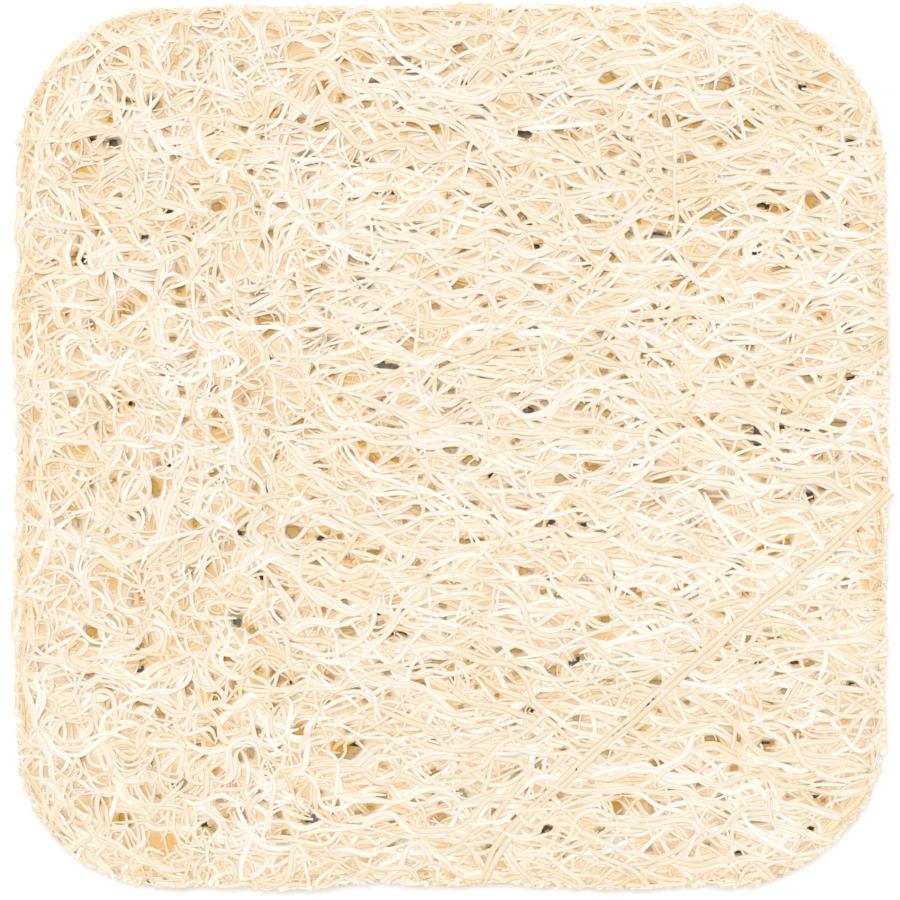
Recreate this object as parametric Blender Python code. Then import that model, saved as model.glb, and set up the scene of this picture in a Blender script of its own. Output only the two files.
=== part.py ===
"""Natural loofah sponge: a square scrubbing pad, cut from the pressed fibre wall of a dried loofah gourd.

The pad is one grown piece. A thin web of the plant's inner fibres carries a raised net of thicker strands
on both faces, and two strands that weave round the rim. Here the strands are larger than life and every
face of the net is pressed flat where it is highest, as on the real pad. Units are metres and +Z is up.
The origin is in the middle of the underside.
"""

import math
import random

import bmesh
import bpy
from mathutils import Vector

# The outside of the pad
PAD_WIDTH = 0.0800
PAD_LENGTH = 0.0810
PAD_THICKNESS = 0.0080
CORNER_RADIUS = 0.0140
CORNER_STEPS = 6
EDGE_ROUNDING = 0.0007

# The inner web, which the strands stand out of
NET_RELIEF = 0.0015
WEB_INSET = 0.0016
STRAND_ROOT = 0.0007

# The raised net
STRANDS_A_FACE = 17
STRAND_WIDTH = 0.0021
STRAND_STEP = 0.0047
WAVE_HEIGHT = (0.0010, 0.0021)
WAVE_LENGTH = (0.021, 0.034)
PRESSED = (-0.0006, -0.0001)
PRESSED_FLAT = 0.0005
LINKS_A_FACE = 6
LINK_LENGTH = (0.008, 0.014)
LINK_STEPS = 3
PAST_THE_EDGE = 0.0020

# The strands woven round the rim
RIM_WAVES = 9
RIM_SWING = 0.0015
RIM_STEPS = 54

# The small gaps that run right through, as (x, y)
PORE_WIDTH = 0.0017
PORE_SIDES = 5
PORE_CLEARANCE = 0.0021
PORES = (
    (-0.0282, 0.0192),
    (-0.0258, -0.0018),
    (-0.0054, 0.0072),
    (0.0072, 0.0208),
    (0.0040, -0.0026),
    (0.0102, -0.0070),
    (0.0290, 0.0012),
    (0.0328, -0.0042),
    (0.0296, 0.0178),
    (0.0193, 0.0210),
    (0.0286, -0.0200),
    (0.0350, -0.0303),
    (-0.0045, -0.0172),
    (0.0130, -0.0318),
    (-0.0200, -0.0345),
    (0.0125, 0.0290),
)

# Long single strands that cross the others, as (x, y) points, first on the top face and then below
LONG_STRANDS = {
    1: (
        ((0.0425, -0.0030), (0.0295, -0.0140), (0.0140, -0.0275), (0.0055, -0.0355), (0.0010, -0.0425)),
        ((-0.0425, 0.0165), (-0.0270, 0.0155), (-0.0130, 0.0215), (-0.0050, 0.0330), (-0.0035, 0.0425)),
        ((-0.0385, -0.0120), (-0.0290, -0.0210), (-0.0255, -0.0310), (-0.0265, -0.0425)),
        ((0.0210, 0.0425), (0.0216, 0.0300), (0.0220, 0.0190), (0.0250, 0.0100), (0.0425, 0.0040)),
    ),
    -1: (
        ((-0.0425, -0.0060), (-0.0150, -0.0040), (0.0000, 0.0000), (0.0160, 0.0080), (0.0300, 0.0425)),
        ((0.0060, 0.0425), (0.0035, 0.0180), (0.0000, 0.0000), (-0.0060, -0.0190), (-0.0080, -0.0425)),
        ((0.0425, -0.0100), (0.0290, -0.0190), (0.0220, -0.0290), (0.0200, -0.0425)),
    ),
}

FIBRE_COLOUR = (0.86, 0.72, 0.50, 1.0)
FIBRE_ROUGHNESS = 0.75


def clear_scene():
    for thing in list(bpy.data.objects):
        bpy.data.objects.remove(thing)


def fibre_material():
    material = bpy.data.materials.new("loofah_fibre")
    material.use_nodes = True
    shader = material.node_tree.nodes["Principled BSDF"]
    shader.inputs["Base Color"].default_value = FIBRE_COLOUR
    shader.inputs["Roughness"].default_value = FIBRE_ROUGHNESS
    shader.inputs["Metallic"].default_value = 0.0
    return material


def rounded_square(inset):
    """The pad's outline, drawn in by inset, as (x, y) points going anticlockwise."""
    radius = CORNER_RADIUS - inset
    across = PAD_WIDTH / 2 - inset - radius
    along = PAD_LENGTH / 2 - inset - radius
    points = []
    for quarter, (x, y) in enumerate(((across, along), (-across, along), (-across, -along), (across, -along))):
        for step in range(CORNER_STEPS + 1):
            angle = math.pi / 2 * (quarter + step / CORNER_STEPS)
            points.append((x + radius * math.cos(angle), y + radius * math.sin(angle)))
    return points


def mesh_object(name, mesh, collection):
    """A new object for a bmesh, which is closed up and turned to face outwards."""
    bmesh.ops.recalc_face_normals(mesh, faces=mesh.faces)
    data = bpy.data.meshes.new(name)
    mesh.to_mesh(data)
    mesh.free()
    thing = bpy.data.objects.new(name, data)
    collection.objects.link(thing)
    return thing


def prism(name, outline, low, high, collection):
    """A straight solid over an (x, y) outline."""
    mesh = bmesh.new()
    face = mesh.faces.new([mesh.verts.new((x, y, low)) for x, y in outline])
    raised = bmesh.ops.extrude_face_region(mesh, geom=[face])
    upper = [item for item in raised["geom"] if isinstance(item, bmesh.types.BMVert)]
    bmesh.ops.translate(mesh, verts=upper, vec=(0, 0, high - low))
    return mesh_object(name, mesh, collection)


def ridge(name, stations, collection, closed=False):
    """A strand of three sides. Each station is its crest and its two feet, as three points."""
    mesh = bmesh.new()
    rings = [[mesh.verts.new(corner) for corner in station] for station in stations]
    pairs = list(zip(rings, rings[1:]))
    if closed:
        pairs.append((rings[-1], rings[0]))
    else:
        mesh.faces.new(rings[0])
        mesh.faces.new(rings[-1][::-1])
    for first, second in pairs:
        for side in range(3):
            after = (side + 1) % 3
            mesh.faces.new((first[side], first[after], second[after], second[side]))
    return mesh_object(name, mesh, collection)


def clear_of_pores(point):
    """Moves a strand's point sideways until it leaves each pore open."""
    for pore in PORES:
        away = point - Vector(pore)
        if away.length < PORE_CLEARANCE:
            way = away.normalized() if away.length > 0 else Vector((0, 1))
            point = Vector(pore) + way * PORE_CLEARANCE
    return point


def face_strand(name, path, side, width, crests, collection):
    """A strand over a face, whose path is (x, y) points. Side is 1 on the top face and -1 below."""
    middle = PAD_THICKNESS / 2
    root = middle + side * (middle - NET_RELIEF - STRAND_ROOT)
    path = [clear_of_pores(Vector(point)) for point in path]
    stations = []
    for index, point in enumerate(path):
        before = path[max(index - 1, 0)]
        after = path[min(index + 1, len(path) - 1)]
        way = (after - before).normalized()
        across = Vector((-way.y, way.x)) * width / 2
        crest = middle + side * (middle + crests[index])
        left, right = point + across, point - across
        stations.append(((point.x, point.y, crest), (left.x, left.y, root), (right.x, right.y, root)))
    ridge(name, stations, collection)


def smooth_path(points, step):
    """Points every step or so along a smooth curve through the given ones."""
    points = [Vector(point) for point in points]
    ends = [2 * points[0] - points[1], *points, 2 * points[-1] - points[-2]]
    path = []
    for a, b, c, d in zip(ends, ends[1:], ends[2:], ends[3:]):
        count = max(1, round((c - b).length / step))
        for index in range(count):
            t = index / count
            path.append(
                0.5 * (2 * b + (c - a) * t + (2 * a - 5 * b + 4 * c - d) * t**2 + (3 * b - a - 3 * c + d) * t**3)
            )
    return [*path, points[-1]]


def crests_for(count, draw):
    """How far each crest stays below the pressed face, changing slowly along the strand."""
    start = draw.uniform(0, math.tau)
    low, high = PRESSED
    return [low + (high - low) * (0.5 + 0.5 * math.sin(start + 0.7 * index)) for index in range(count)]


def waving_strands(side, draw, collection):
    """The main strands of a face, which run across the pad and swing in and out of each other."""
    pitch = PAD_LENGTH / STRANDS_A_FACE
    reach = PAD_WIDTH / 2 + PAST_THE_EDGE
    steps = round(2 * reach / STRAND_STEP)
    for number in range(STRANDS_A_FACE):
        middle = -PAD_LENGTH / 2 + pitch * (number + 0.5)
        swing = draw.uniform(*WAVE_HEIGHT)
        turns = math.tau / draw.uniform(*WAVE_LENGTH)
        start = math.pi * (number % 2) + draw.uniform(-0.6, 0.6)
        lean = draw.uniform(-0.03, 0.03)
        path = []
        for index in range(steps + 1):
            x = -reach + 2 * reach * index / steps
            path.append((x, middle + swing * math.sin(turns * x + start) + lean * x))
        width = STRAND_WIDTH * draw.uniform(0.85, 1.15)
        face_strand(f"strand_{side}_{number}", path, side, width, crests_for(steps + 1, draw), collection)


def links(side, draw, collection):
    """Short curved strands that tie the main ones together."""
    for number in range(LINKS_A_FACE):
        length = draw.uniform(*LINK_LENGTH)
        angle = draw.uniform(0.9, 2.3)
        bend = draw.uniform(-0.5, 0.5)
        point = Vector((draw.uniform(-0.42, 0.42) * PAD_WIDTH, draw.uniform(-0.42, 0.42) * PAD_LENGTH))
        path = [point]
        for index in range(LINK_STEPS):
            way = angle + bend * index
            point = point + Vector((math.cos(way), math.sin(way))) * length / LINK_STEPS
            path.append(point)
        face_strand(f"link_{side}_{number}", path, side, STRAND_WIDTH * 0.8, crests_for(len(path), draw), collection)


def long_strands(side, draw, collection):
    for number, points in enumerate(LONG_STRANDS[side]):
        path = smooth_path(points, STRAND_STEP)
        crests = [PRESSED_FLAT] * len(path)
        face_strand(f"long_strand_{side}_{number}", path, side, STRAND_WIDTH * 1.15, crests, collection)


def rim_strands(collection):
    """Two strands round the rim, which swing up and down against each other."""
    outer = [Vector(point) for point in rounded_square(-EDGE_ROUNDING / 2)]
    inner = [Vector(point) for point in rounded_square(WEB_INSET + STRAND_ROOT)]
    lengths = [0.0]
    for before, after in zip(outer, outer[1:] + outer[:1]):
        lengths.append(lengths[-1] + (after - before).length)

    def at(points, share):
        wanted = share * lengths[-1]
        index = max(i for i in range(len(points)) if lengths[i] <= wanted)
        part = (wanted - lengths[index]) / (lengths[index + 1] - lengths[index])
        return points[index].lerp(points[(index + 1) % len(points)], part)

    for number in range(2):
        stations = []
        for index in range(RIM_STEPS):
            share = index / RIM_STEPS
            swing = RIM_SWING * math.sin(math.tau * RIM_WAVES * share + math.pi * number)
            height = PAD_THICKNESS / 2 + swing
            crest, foot = at(outer, share), at(inner, share)
            half = STRAND_WIDTH / 2
            stations.append(
                ((crest.x, crest.y, height), (foot.x, foot.y, height - half), (foot.x, foot.y, height + half))
            )
        ridge(f"rim_strand_{number}", stations, collection, closed=True)


def apply_boolean(thing, operation, solver="EXACT", cutter=None, collection=None):
    """Applies one Boolean to the object and removes what it used."""
    modifier = thing.modifiers.new(operation.lower(), "BOOLEAN")
    modifier.operation = operation
    modifier.solver = solver
    if collection:
        modifier.operand_type = "COLLECTION"
        modifier.collection = collection
    else:
        modifier.object = cutter
    bpy.context.view_layer.objects.active = thing
    bpy.ops.object.modifier_apply(modifier=modifier.name)
    for used in list(collection.objects) if collection else [cutter]:
        bpy.data.objects.remove(used)


def helper_collection(name):
    collection = bpy.data.collections.new(name)
    bpy.context.scene.collection.children.link(collection)
    return collection


def inner_web(root):
    """The thin web between the two nets, with the gaps that run right through it."""
    outline = rounded_square(WEB_INSET)
    web = prism("loofah_sponge", outline, NET_RELIEF, PAD_THICKNESS - NET_RELIEF, root)
    pores = helper_collection("pores")
    for number, (x, y) in enumerate(PORES):
        corners = []
        for corner in range(PORE_SIDES):
            angle = math.tau * corner / PORE_SIDES + number
            corners.append((x + PORE_WIDTH / 2 * math.cos(angle), y + PORE_WIDTH / 2 * math.sin(angle)))
        prism(f"pore_{number}", corners, 0, PAD_THICKNESS, pores)
    apply_boolean(web, "DIFFERENCE", collection=pores)
    bpy.data.collections.remove(pores)
    return web


def raised_net(web):
    """Joins the strands of both faces and of the rim to the web."""
    strands = helper_collection("strands")
    for side in (1, -1):
        draw = random.Random(20 + side)
        waving_strands(side, draw, strands)
        links(side, draw, strands)
        long_strands(side, draw, strands)
    rim_strands(strands)
    apply_boolean(web, "UNION", collection=strands)
    bpy.data.collections.remove(strands)


def pressed_and_cut(web, root):
    """Trims the net to the pad's outside, which leaves flat spots on both faces and cut ends at the rim."""
    outside = prism("outside", rounded_square(0), 0, PAD_THICKNESS, root)
    rounding = outside.modifiers.new("edge", "BEVEL")
    rounding.width = EDGE_ROUNDING
    rounding.segments = 1
    rounding.limit_method = "ANGLE"
    rounding.angle_limit = math.radians(60)
    apply_boolean(web, "INTERSECT", solver="MANIFOLD", cutter=outside)


def main():
    clear_scene()
    root = bpy.context.scene.collection
    sponge = inner_web(root)
    raised_net(sponge)
    pressed_and_cut(sponge, root)
    sponge.data.materials.clear()
    sponge.data.materials.append(fibre_material())


main()
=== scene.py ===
"""Natural loofah sponge, laid out as a Blender add-on.

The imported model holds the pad's size and main shape. Here its single node is replaced by the fibres that a
real pad is: eight thin nets that grew over each other with thin skins between them, long strands on the upper
face, and a net and a skin round the rim. In the functions that grow them, lengths are in millimetres.
"""

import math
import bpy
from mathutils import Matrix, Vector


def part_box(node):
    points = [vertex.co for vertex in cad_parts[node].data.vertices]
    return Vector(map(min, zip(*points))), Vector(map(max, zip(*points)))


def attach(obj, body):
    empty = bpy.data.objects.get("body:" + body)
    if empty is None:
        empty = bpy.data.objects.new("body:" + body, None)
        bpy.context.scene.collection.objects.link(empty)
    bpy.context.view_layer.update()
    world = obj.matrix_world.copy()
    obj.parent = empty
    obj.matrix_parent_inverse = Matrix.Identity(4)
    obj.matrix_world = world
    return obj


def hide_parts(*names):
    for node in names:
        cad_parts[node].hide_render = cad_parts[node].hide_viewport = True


bl_info = {
    "name": "Natural loofah sponge",
    "version": (1, 0, 0),
    "blender": (4, 5, 0),
    "location": "View3D > Sidebar > Loofah",
    "description": "Grows the fibre net of a pressed loofah pad round its packed model",
    "category": "Add Mesh",
}

import bpy
import numpy as np
from bpy.props import FloatProperty, FloatVectorProperty, PointerProperty
from bpy.types import Operator, Panel, PropertyGroup
from mathutils import Vector

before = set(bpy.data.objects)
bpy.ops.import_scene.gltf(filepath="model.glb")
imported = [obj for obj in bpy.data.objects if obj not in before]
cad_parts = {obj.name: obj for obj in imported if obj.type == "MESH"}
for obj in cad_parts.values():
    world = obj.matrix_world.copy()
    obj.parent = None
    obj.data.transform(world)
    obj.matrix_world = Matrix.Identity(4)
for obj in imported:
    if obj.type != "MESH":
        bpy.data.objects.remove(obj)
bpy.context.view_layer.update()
NODE = "loofah_sponge"
NODE_LOW, NODE_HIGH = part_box(NODE)

MM = 0.001
STEP = 0.35  # between a fibre's points while it grows
CELL = 0.2  # side of a square of the grids that the fibres are grown on
EDGE_ROOM = 0.8  # how far past the outline a net grows before it is cut
TURN_SHARE = 0.45  # share of the way to the ground's run that a growing fibre turns at each step
SHORTEST = 5  # steps, below which a fibre isn't kept
SIDES = 4  # of a fibre's cross-section
SIDE_LEAN = 0.72  # how far the shading turns to the sides of a fibre
END_DIP = 0.20  # how far a fibre dives where it joins another
SKIN_THICKNESS = 0.22
WEB_CELL = 0.12  # side of a square of the grids that the webs are hung on
RIM_DEPTH = 3.0  # inset of the inner one of the two lines that the rim is placed between
MOST_TRIANGLES = 200000  # in a piece
FLOOR_GAP = 0.0002  # metres between the pad and the floor
RANGE_SOCKETS = ("From Min", "From Max", "To Min", "To Max")

# The nets from the upper face down: middle height in millimetres, density, and spread of its fibres' heights
NETS = (
    (7.84, 1.52, 0.04),
    (7.69, 1.46, 0.05),
    (7.46, 1.18, 0.07),
    (7.05, 0.90, 0.14),
    (5.40, 0.52, 0.40),
    (3.00, 0.52, 0.45),
    (0.66, 0.80, 0.16),
    (0.24, 0.98, 0.06),
)

# The long strands that stand out in the photo: the width, then points from the pad's middle, in millimetres
LONG_STRANDS = (
    (1.00, (40.5, -3.9), (36.6, -7.7), (29.1, -14.1), (21.0, -21.0), (13.7, -27.7), (5.4, -35.5),
     (2.7, -40.3)),
    (0.62, (-13.5, 1.0), (-8.6, 1.3), (-4.0, 1.5), (-0.9, 2.0), (2.8, 1.3), (7.2, 1.1), (15.0, 0.4)),
    (0.80, (-15.5, 0.5), (-12.8, -2.2), (-10.4, -5.2), (-8.6, -7.0), (-6.3, -8.5), (-3.3, -9.9), (0.2, -9.6),
     (3.7, -8.9), (9.5, -7.4)),
    (0.60, (-7.6, 37.0), (-3.7, 31.5), (-1.0, 30.0), (1.9, 28.2), (6.0, 24.0)),
    (0.36, (20.3, 31.0), (20.6, 28.6), (20.4, 25.5), (20.9, 21.8), (20.3, 18.0)),
    (0.34, (25.8, 37.5), (26.4, 35.7), (26.2, 32.5), (26.7, 29.7), (27.4, 27.0)),
    (0.32, (-3.5, 14.0), (-3.2, 11.1), (-3.5, 8.2), (-3.0, 5.8)),
    (0.62, (10.5, 10.6), (15.4, 11.8), (20.6, 12.2), (26.0, 11.5), (29.4, 10.9), (36.5, 10.2)),
    (0.60, (17.0, 10.2), (20.0, 8.2), (23.5, 4.3), (27.7, 3.2), (31.5, 2.2), (39.5, 1.0)),
    (0.70, (-40.0, -5.7), (-38.0, -6.8), (-35.6, -8.2), (-32.5, -9.6), (-29.0, -12.2)),
    (0.80, (-24.0, -1.0), (-25.0, -3.1), (-26.2, -6.0), (-27.3, -9.3), (-31.0, -11.0)),
    (0.55, (-33.5, -3.6), (-32.9, -4.9), (-31.0, -7.5), (-28.6, -8.7)),
    (0.70, (-36.5, 15.5), (-31.5, 16.3), (-27.0, 16.7), (-23.8, 18.2), (-19.5, 22.0)),
    (0.55, (-35.0, 23.5), (-33.1, 19.4), (-31.7, 16.3), (-30.8, 12.5)),
    (0.62, (-35.3, 38.2), (-32.3, 38.2), (-29.1, 36.7), (-28.7, 35.3), (-28.2, 31.5)),
    (0.60, (-31.0, 36.0), (-28.5, 34.8), (-24.2, 33.0), (-19.0, 32.2)),
    (0.60, (-34.2, 28.0), (-31.9, 28.8), (-29.1, 29.2), (-26.3, 30.0), (-20.5, 30.6)),
    (0.60, (-32.0, 25.5), (-29.8, 26.5), (-25.6, 26.9), (-22.6, 27.8), (-15.0, 27.4)),
    (0.60, (-39.6, -19.4), (-35.6, -19.9), (-31.5, -21.0), (-28.2, -21.3), (-23.0, -20.4)),
    (0.60, (-34.0, -31.6), (-30.8, -31.5), (-28.7, -32.6), (-24.5, -33.5)),
    (0.62, (19.0, -18.5), (23.5, -21.0), (27.3, -18.3), (29.4, -19.3), (31.2, -20.6), (36.0, -23.5)),
    (0.60, (21.0, -22.0), (23.5, -23.6), (26.0, -25.7), (29.1, -28.2), (32.0, -28.2), (38.5, -29.5)),
    (0.60, (16.5, -27.5), (20.7, -29.1), (24.2, -31.3), (27.7, -33.1), (29.4, -34.5), (34.0, -36.3)),
    (0.60, (8.5, -31.0), (13.7, -31.6), (18.1, -31.3), (22.5, -32.4), (24.9, -33.2), (31.0, -34.8)),
    (0.62, (-19.5, -21.5), (-13.8, -22.6), (-8.6, -21.8), (-3.3, -22.4), (3.0, -23.5)),
    (0.62, (-20.0, -9.0), (-12.5, -12.0), (-5.5, -15.8), (2.5, -17.0), (10.0, -19.5)),
    (0.60, (-40.2, 8.0), (-37.4, 6.0), (-36.6, 1.5), (-37.6, -3.0), (-36.5, -9.5)),
    (0.62, (-39.7, 19.0), (-38.4, 25.5), (-35.6, 31.5), (-30.5, 36.8), (-24.0, 39.6)),
    (0.60, (-38.8, -14.0), (-38.9, -22.0), (-36.5, -30.5), (-31.5, -36.5), (-24.0, -39.7)),
)

# Small loops of fibre, as x, y and radius in millimetres
LOOPS = (
    (-5.4, 15.9, 1.3), (29.4, 18.0, 1.7), (21.7, 10.4, 1.3), (29.4, -10.8, 1.5), (-33.0, 8.8, 1.5),
    (-27.0, 5.0, 1.2), (-21.6, -5.2, 1.6), (-34.6, -26.0, 1.4), (-30.0, 22.6, 1.3), (-16.0, -30.5, 1.3),
    (-24.5, -27.5, 1.2), (4.3, 15.6, 1.4), (-36.0, 1.2, 1.0), (12.6, -14.2, 1.4),
)

# Places where the gaps of all nets lie over each other, in millimetres
PORES = (
    (3.8, -2.7), (-5.2, 7.2), (-6.1, 7.4), (6.9, 28.6), (7.2, 20.3), (-5.2, 23.2), (7.9, 18.3),
    (1.2, 33.3), (28.4, 22.0), (27.6, 17.8), (32.2, 33.0), (36.7, 28.0), (36.3, 20.2), (19.3, 19.5),
    (-25.9, 21.5), (-28.2, 19.2), (-29.4, 31.7), (-32.9, 28.2), (-33.8, 17.1), (-30.9, 28.0),
    (-25.8, -1.8), (-29.3, 3.8), (-19.3, -7.9), (-17.4, -12.0), (9.4, -7.0), (12.1, -7.2),
    (-12.0, -8.5), (6.9, 3.2), (30.3, 1.7), (32.5, 1.5), (34.1, 1.5), (28.0, 1.5), (28.1, 0.3),
    (32.9, -4.4), (36.6, 10.6), (36.6, 6.3), (-28.4, -20.6), (-19.6, -16.3), (-14.9, -21.8),
    (-22.7, -34.8), (-6.3, -15.2), (-4.7, -17.2), (-9.1, -27.5), (12.3, -27.1), (-12.8, -34.5),
    (8.8, -35.0), (11.1, -20.0), (7.3, -24.2), (6.1, -18.8), (28.1, -19.9), (31.5, -19.9),
    (28.9, -27.2), (33.5, -32.2), (36.7, -21.8), (15.3, -32.2), (33.1, -35.1), (26.4, -37.4),
)
PORE_SHAPE = (0.8, 1.25)  # pores are wider than they are high


def ripple(x, y, size, seed):
    """A smooth random field of spread 1, whose bumps are about size across."""
    draw = np.random.default_rng(seed)
    waves = 8
    total = np.zeros_like(x)
    for _ in range(waves):
        way, start = draw.uniform(0, math.tau, 2)
        length = size * draw.uniform(0.7, 1.8)
        total += np.sin((x * math.cos(way) + y * math.sin(way)) * math.tau / length + start)
    return total / math.sqrt(waves / 2)


def distance_along(path):
    """How far along a path each of its points is."""
    return np.concatenate(([0.0], np.cumsum(np.linalg.norm(np.diff(path, axis=0), axis=1))))


def ease(value):
    """Rises smoothly from 0 to 1 as value does."""
    value = np.clip(value, 0, 1)
    return value * value * (3 - 2 * value)


def pad_numbers(context):
    """The pad's settings, in millimetres."""
    pad = context.scene.loofah_pad
    return {
        "half": np.array((pad.width, pad.length)) / 2 / MM,
        "height": pad.thickness / MM,
        "corners": np.array(pad.corner_radii) / MM,
        "wobble": pad.edge_wobble / MM,
    }


def inward(x, y, pad):
    """How far inside the pad's outline each point is."""
    upper_left, upper_right, lower_right, lower_left = pad["corners"]
    left = np.where(y > 0, upper_left, lower_left)
    right = np.where(y > 0, upper_right, lower_right)
    radius = np.where(x < 0, left, right)
    across = np.abs(x) - (pad["half"][0] - radius)
    along = np.abs(y) - (pad["half"][1] - radius)
    outside = np.hypot(np.maximum(across, 0), np.maximum(along, 0))
    outside = outside + np.minimum(np.maximum(across, along), 0)
    wobble = 0.7 * ripple(x, y, 20.0, 31) + 0.4 * ripple(x, y, 7.0, 32)
    return radius - outside + pad["wobble"] * wobble


def run_of_fibres(x, y, pad, seed):
    """The angle that fibres run at: across the pad in the middle and on the right, tangled on the left."""
    left = ease((-6.0 - x) / 15.0)
    calm = -0.05 + 0.20 * ripple(x, y, 17.0, seed) + 0.16 * ripple(x, y, 7.0, seed + 1)
    tangled = 1.30 * ripple(x, y, 5.5, seed + 2)
    angle = calm * (1 - left) + tangled * left
    edge = inward(x, y, pad)
    slope_x, slope_y = np.gradient(edge, CELL)
    beside = np.arctan2(slope_y, slope_x) + math.pi / 2
    corner = ease((np.abs(x) - 26) / 8) * ease((np.abs(y) - 26) / 8)
    hold = np.maximum(0.3, np.maximum(ease((-x - 24) / 12), 0.9 * corner)) * ease(1 - edge / 3.5)
    turned_x = np.cos(2 * angle) * (1 - hold) + np.cos(2 * beside) * hold
    turned_y = np.sin(2 * angle) * (1 - hold) + np.sin(2 * beside) * hold
    return np.arctan2(turned_y, turned_x) / 2


def pore_distance(x, y):
    """How far each point is from the nearest pore's middle, on the pores' own scale."""
    wide, high = PORE_SHAPE
    return np.min([np.hypot(wide * (x - px), high * (y - py)) for px, py in PORES], axis=0)


def clear_pores(path):
    """Bends a path round the pores that it would cross."""
    sizes = 0.34 + 0.12 * np.sin(2.4 * np.arange(len(PORES)))
    away = path[:, None] - np.array(PORES)
    reach = np.linalg.norm(away * PORE_SHAPE, axis=2)
    nearest = reach.argmin(axis=1)
    row = np.arange(len(path))
    away, reach = away[row, nearest], np.maximum(reach[row, nearest], 1e-6)
    shift = np.maximum(sizes[nearest] - 0.6 * reach, 0)
    return path + away / reach[:, None] * shift[:, None]


class Ground:
    """A flat stretch that fibres grow on, with the way they run there and where there is room for them."""

    def __init__(self, low, high, run, room):
        self.low = np.array(low, float)
        self.shape = tuple(int(math.ceil((h - l) / CELL)) for l, h in zip(low, high))
        rows = [low[i] + CELL * (np.arange(self.shape[i]) + 0.5) for i in range(2)]
        self.x, self.y = np.meshgrid(*rows, indexing="ij")
        self.run = run(self.x, self.y)
        self.room = room(self.x, self.y)


def disk(radius):
    """The squares of the grid that lie within a radius of one, and how many fit in the radius."""
    cells = int(radius / CELL)
    row = np.arange(-cells, cells + 1)
    return cells, row[:, None] ** 2 + row[None, :] ** 2 <= (radius / CELL) ** 2


def grow(ground, turn, spacing, closest, length_at, draw, wiggle):
    """Fibres of one family, evenly spaced. Each is an array of points that follows the ground's run."""
    run = ground.run + turn + wiggle * ripple(ground.x, ground.y, 3.5, int(draw.integers(10**6)))
    way_x, way_y = np.cos(run).tolist(), np.sin(run).tolist()
    room = ground.room.tolist()
    margin, far_disk = disk(spacing)
    reach, near_disk = disk(closest)
    wide, deep = ground.shape
    far = np.zeros((wide + 2 * margin + 2, deep + 2 * margin + 2), bool)
    near = np.zeros_like(far)
    low_x, low_y = ground.low
    fibres = []

    def march(x, y, step_x, step_y, steps):
        """Steps on from a point until there is no room, or a fibre of the family is too close."""
        points = []
        spare = 3  # steps that may be too close
        for _ in range(steps):
            i, j = int((x - low_x) / CELL), int((y - low_y) / CELL)
            if not (0 <= i < wide and 0 <= j < deep and room[i][j]):
                break
            if near[i + margin, j + margin]:
                spare -= 1
                if spare < 0:
                    break
            run_x, run_y = way_x[i][j], way_y[i][j]
            if run_x * step_x + run_y * step_y < 0:
                run_x, run_y = -run_x, -run_y
            step_x += (run_x - step_x) * TURN_SHARE
            step_y += (run_y - step_y) * TURN_SHARE
            size = math.hypot(step_x, step_y)
            step_x, step_y = step_x / size, step_y / size
            x, y = x + step_x * STEP, y + step_y * STEP
            points.append((x, y))
        return points

    pitch = spacing * 0.7
    counts = [int(size * CELL / pitch) for size in ground.shape]
    cells = draw.permutation(counts[0] * counts[1])
    starts = np.stack((cells // counts[1], cells % counts[1]), 1) + draw.uniform(0, 1, (len(cells), 2))
    for x, y in (ground.low + starts * pitch).tolist():
        i, j = int((x - low_x) / CELL), int((y - low_y) / CELL)
        if not (i < wide and j < deep and room[i][j]) or far[i + margin, j + margin]:
            continue
        steps = int(length_at(x, y) * draw.uniform(0.35, 1.0) / STEP / 2)
        ahead = march(x, y, way_x[i][j], way_y[i][j], steps)
        behind = march(x, y, -way_x[i][j], -way_y[i][j], steps)
        if len(ahead) + len(behind) < SHORTEST:
            continue
        path = np.array(behind[::-1] + [(x, y)] + ahead)
        fibres.append(path)
        for i, j in ((path - ground.low) / CELL).astype(int).tolist():
            i, j = min(max(i, 0), wide - 1), min(max(j, 0), deep - 1)
            far[i : i + 2 * margin + 1, j : j + 2 * margin + 1] |= far_disk
            i, j = i + margin - reach, j + margin - reach
            near[i : i + 2 * reach + 1, j : j + 2 * reach + 1] |= near_disk
    return fibres


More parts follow.
